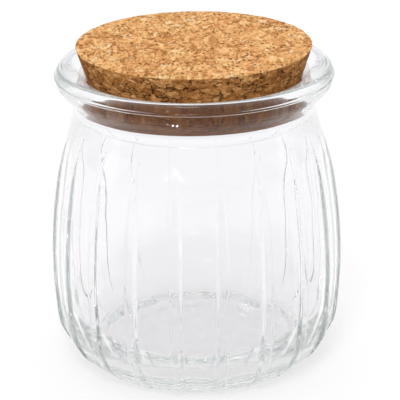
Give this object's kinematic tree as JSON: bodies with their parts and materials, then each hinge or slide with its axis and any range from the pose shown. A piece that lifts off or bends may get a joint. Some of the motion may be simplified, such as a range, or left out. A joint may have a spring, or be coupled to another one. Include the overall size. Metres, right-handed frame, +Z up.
{
  "type": "ribbed glass jar with cork stopper",
  "caption": "Small round-bellied glass jar with upright ribs, a smooth shoulder and a rounded rim, closed by a flared agglomerated-cork stopper that pulls straight out.",
  "frame": {"origin": "centre of the foot ring on the surface the jar stands on, on the jar's axis", "axes": "+Z up along the jar's axis, towards the stopper; -Y is the side seen in the picture"},
  "size_m": [0.08, 0.08, 0.0887],
  "materials": {
    "clear_glass": "clear, glossy, faint green tint in thick sections",
    "cork": "matte agglomerated cork granules"
  },
  "bodies": {
    "jar": {"glass_jar": "clear_glass"},
    "stopper": {"cork_stopper": "cork"}
  },
  "joints": [
    {"name": "stopper_pull", "type": "slide", "parent": "jar", "child": "stopper", "axis": [0, 0, 1], "range_m": [0, 0.07]}
  ]
}
